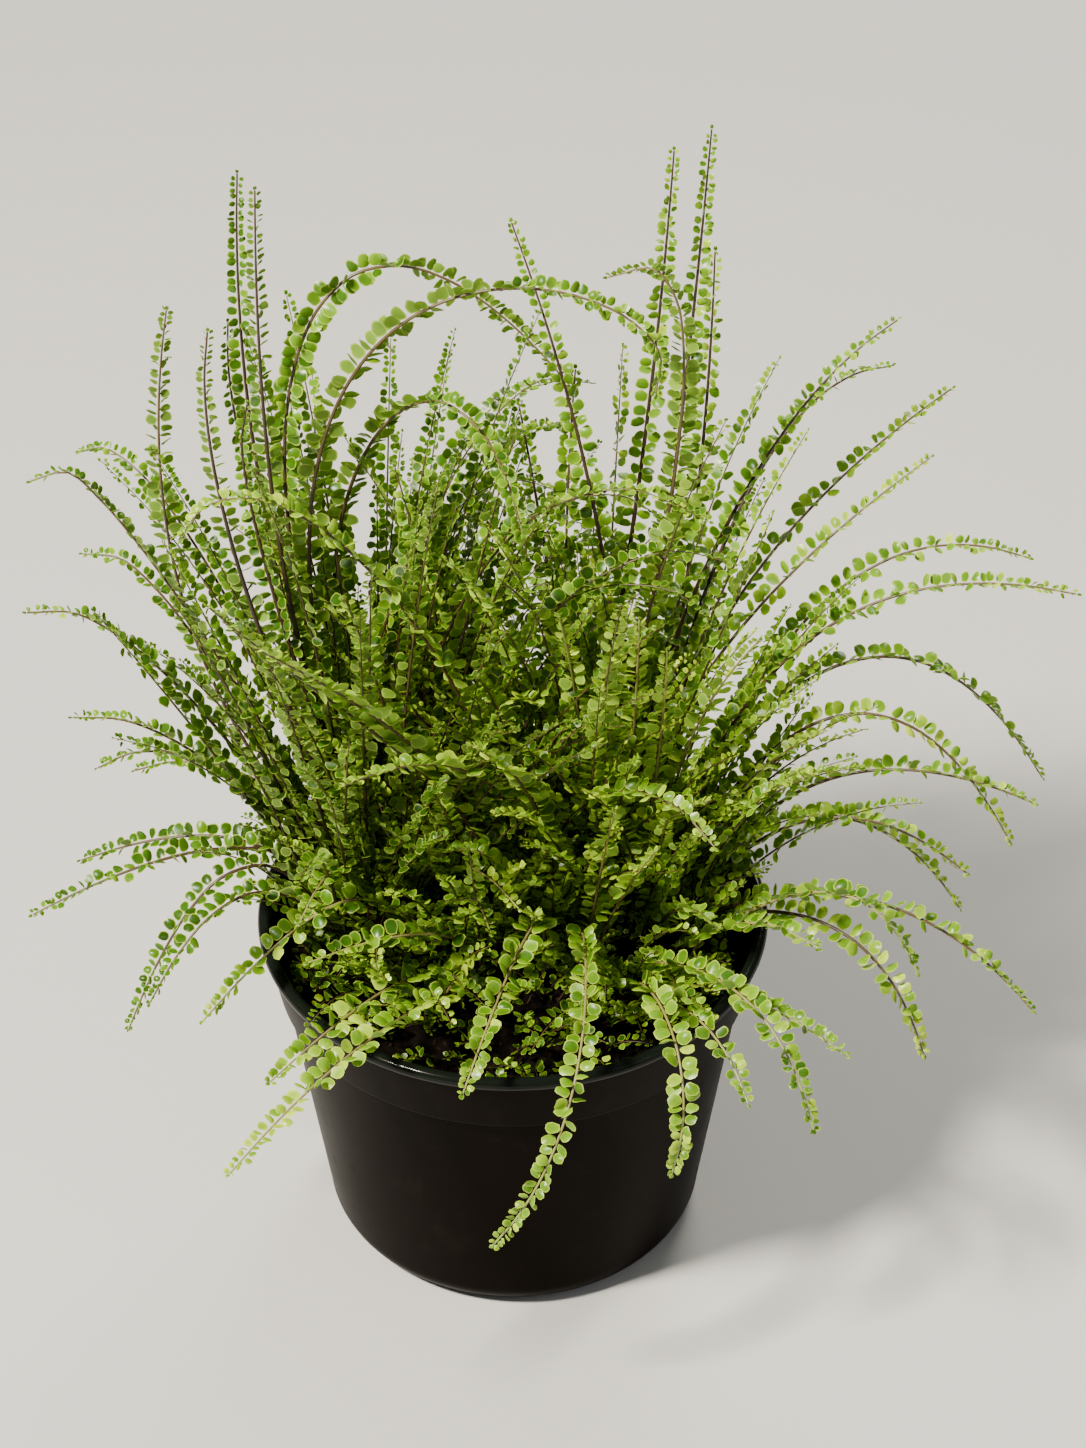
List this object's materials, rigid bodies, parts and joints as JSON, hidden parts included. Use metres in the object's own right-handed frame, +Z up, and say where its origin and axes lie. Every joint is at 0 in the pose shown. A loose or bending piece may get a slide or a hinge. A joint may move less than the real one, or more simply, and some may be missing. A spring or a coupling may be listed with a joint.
{
  "type": "potted button fern",
  "caption": "Small-leaved fern with long arching fronds of round leaflets, growing from two crowns in a round tapered pot.",
  "frame": {"origin": "middle of the pot's underside, on the surface it stands on", "axes": "+Z up along the pot's axis, -Y towards the front of the plant, +X to the right as seen from the front"},
  "size_m": [0.3375, 0.259, 0.384],
  "materials": {
    "pot_plastic": "satin",
    "potting_soil": "matte",
    "fern_leaf": "satin"
  },
  "bodies": {
    "root": {"frond_01": "fern_leaf", "frond_02": "fern_leaf", "frond_03": "fern_leaf", "frond_04": "fern_leaf", "frond_05": "fern_leaf", "frond_10": "fern_leaf", "frond_11": "fern_leaf", "frond_12": "fern_leaf", "frond_19": "fern_leaf", "frond_20": "fern_leaf", "frond_22": "fern_leaf", "frond_23": "fern_leaf", "frond_24": "fern_leaf", "frond_29": "fern_leaf", "frond_30": "fern_leaf", "frond_32": "fern_leaf", "frond_34": "fern_leaf", "frond_36": "fern_leaf", "frond_37": "fern_leaf", "frond_42": "fern_leaf", "frond_44": "fern_leaf", "frond_45": "fern_leaf", "frond_47": "fern_leaf", "frond_49": "fern_leaf", "frond_50": "fern_leaf", "frond_51": "fern_leaf", "frond_52": "fern_leaf", "frond_53": "fern_leaf", "frond_54": "fern_leaf", "frond_55": "fern_leaf", "frond_56": "fern_leaf", "frond_57": "fern_leaf", "frond_58": "fern_leaf", "frond_pair_06": "fern_leaf", "frond_pair_07": "fern_leaf", "frond_pair_08": "fern_leaf", "frond_pair_09": "fern_leaf", "frond_pair_13": "fern_leaf", "frond_pair_14": "fern_leaf", "frond_pair_15": "fern_leaf", "frond_pair_16": "fern_leaf", "frond_pair_17": "fern_leaf", "frond_pair_18": "fern_leaf", "frond_pair_21": "fern_leaf", "frond_pair_25": "fern_leaf", "frond_pair_26": "fern_leaf", "frond_pair_27": "fern_leaf", "frond_pair_28": "fern_leaf", "frond_pair_31": "fern_leaf", "frond_pair_33": "fern_leaf", "frond_pair_35": "fern_leaf", "frond_pair_38": "fern_leaf", "frond_pair_39": "fern_leaf", "frond_pair_40": "fern_leaf", "frond_pair_41": "fern_leaf", "frond_pair_43": "fern_leaf", "frond_pair_46": "fern_leaf", "frond_pair_48": "fern_leaf", "pot": "pot_plastic", "soil": "potting_soil"}
  },
  "joints": []
}
